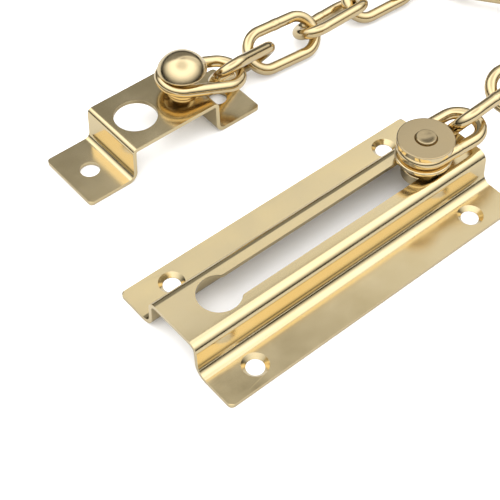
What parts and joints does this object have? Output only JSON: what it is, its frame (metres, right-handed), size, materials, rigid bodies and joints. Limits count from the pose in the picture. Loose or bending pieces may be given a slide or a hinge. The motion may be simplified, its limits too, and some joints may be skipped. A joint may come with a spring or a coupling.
{
  "type": "door chain guard",
  "caption": "Slotted hat-section track plate whose slider holds a welded link chain running to a bridge-shaped keeper bracket; limits how far a door opens.",
  "frame": {"origin": "centre of the four screw holes of the track plate, on its back face", "axes": "+Z out of the door face through the screw holes, +X along the slot towards the slider's rest end"},
  "size_m": [0.1769, 0.0996, 0.0271],
  "materials": {
    "satin_plate": "satin plated sheet",
    "chain_wire": "polished plated wire",
    "polished_parts": "polished plated turned parts"
  },
  "bodies": {
    "track": {"track_plate": "satin_plate"},
    "slider": {"slider_stud": "polished_parts", "slider_lower_disc": "polished_parts", "slider_bush": "polished_parts", "slider_top_disc": "polished_parts"},
    "link_01": {"chain_link_01": "chain_wire"},
    "link_02": {"chain_link_02": "chain_wire"},
    "link_03": {"chain_link_03": "chain_wire"},
    "link_04": {"chain_link_04": "chain_wire"},
    "link_05": {"chain_link_05": "chain_wire"},
    "link_06": {"chain_link_06": "chain_wire"},
    "link_07": {"chain_link_07": "chain_wire"},
    "link_08": {"chain_link_08": "chain_wire"},
    "link_09": {"chain_link_09": "chain_wire"},
    "link_10": {"chain_link_10": "chain_wire"},
    "link_11": {"chain_link_11": "chain_wire"},
    "link_12": {"chain_link_12": "chain_wire"},
    "link_13": {"chain_link_13": "chain_wire"},
    "keeper": {"keeper_bracket": "satin_plate", "anchor_rivet": "polished_parts", "rivet_collar": "polished_parts"}
  },
  "joints": [
    {"name": "slider_run", "type": "slide", "parent": "track", "child": "slider", "axis": [1, 0, 0], "range_m": [-0.073, 0]},
    {"name": "link_01_swivel", "type": "hinge", "parent": "slider", "child": "link_01", "pos_m": [0.0362, 0, 0.0164], "axis": [0, 0, 1], "range_deg": [-110, 12]},
    {"name": "link_02_hinge", "type": "hinge", "parent": "link_01", "child": "link_02", "pos_m": [0.05096, -0.00081, 0.01679], "axis": [0, 0, -1], "range_deg": [-16, 18]},
    {"name": "link_03_hinge", "type": "hinge", "parent": "link_02", "child": "link_03", "pos_m": [0.06826, 0.00018, 0.0179], "axis": [0, 0, 1], "range_deg": [-13, 14]},
    {"name": "link_04_hinge", "type": "hinge", "parent": "link_03", "child": "link_04", "pos_m": [0.08676, -0.00058, 0.01921], "axis": [0, 0, -1], "range_deg": [-3, 29]},
    {"name": "link_05_hinge", "type": "hinge", "parent": "link_04", "child": "link_05", "pos_m": [0.10522, 0.00727, 0.01973], "axis": [0, 0, 1], "range_deg": [-34, 3]},
    {"name": "link_06_hinge", "type": "hinge", "parent": "link_05", "child": "link_06", "pos_m": [0.11575, 0.02046, 0.01313], "axis": [0, 0, -1], "range_deg": [-3, 45]},
    {"name": "link_07_hinge", "type": "hinge", "parent": "link_06", "child": "link_07", "pos_m": [0.11753, 0.03786, 0.00821], "axis": [0, 0, 1], "range_deg": [-38, 3]},
    {"name": "link_08_hinge", "type": "hinge", "parent": "link_07", "child": "link_08", "pos_m": [0.10935, 0.05386, 0.00594], "axis": [0, 0, -1], "range_deg": [-3, 45]},
    {"name": "link_09_hinge", "type": "hinge", "parent": "link_08", "child": "link_09", "pos_m": [0.09316, 0.06476, 0.00626], "axis": [0, 0, 1], "range_deg": [-45, 3]},
    {"name": "link_10_hinge", "type": "hinge", "parent": "link_09", "child": "link_10", "pos_m": [0.07351, 0.06729, 0.00598], "axis": [0, 0, -1], "range_deg": [-8, 24]},
    {"name": "link_11_hinge", "type": "hinge", "parent": "link_10", "child": "link_11", "pos_m": [0.05295, 0.0667, 0.00623], "axis": [0, 0, 1], "range_deg": [-16, 18]},
    {"name": "link_12_hinge", "type": "hinge", "parent": "link_11", "child": "link_12", "pos_m": [0.0332, 0.068, 0.00682], "axis": [0, 0, -1], "range_deg": [-3, 36]},
    {"name": "link_13_hinge", "type": "hinge", "parent": "link_12", "child": "link_13", "pos_m": [0.01651, 0.06255, 0.0129], "axis": [0, 0, 1], "range_deg": [-3, 21]},
    {"name": "keeper_swivel", "type": "hinge", "parent": "link_13", "child": "keeper", "pos_m": [0.0027, 0.0654, 0.0164], "axis": [0, 0, 1], "range_deg": [-35, 35]}
  ]
}
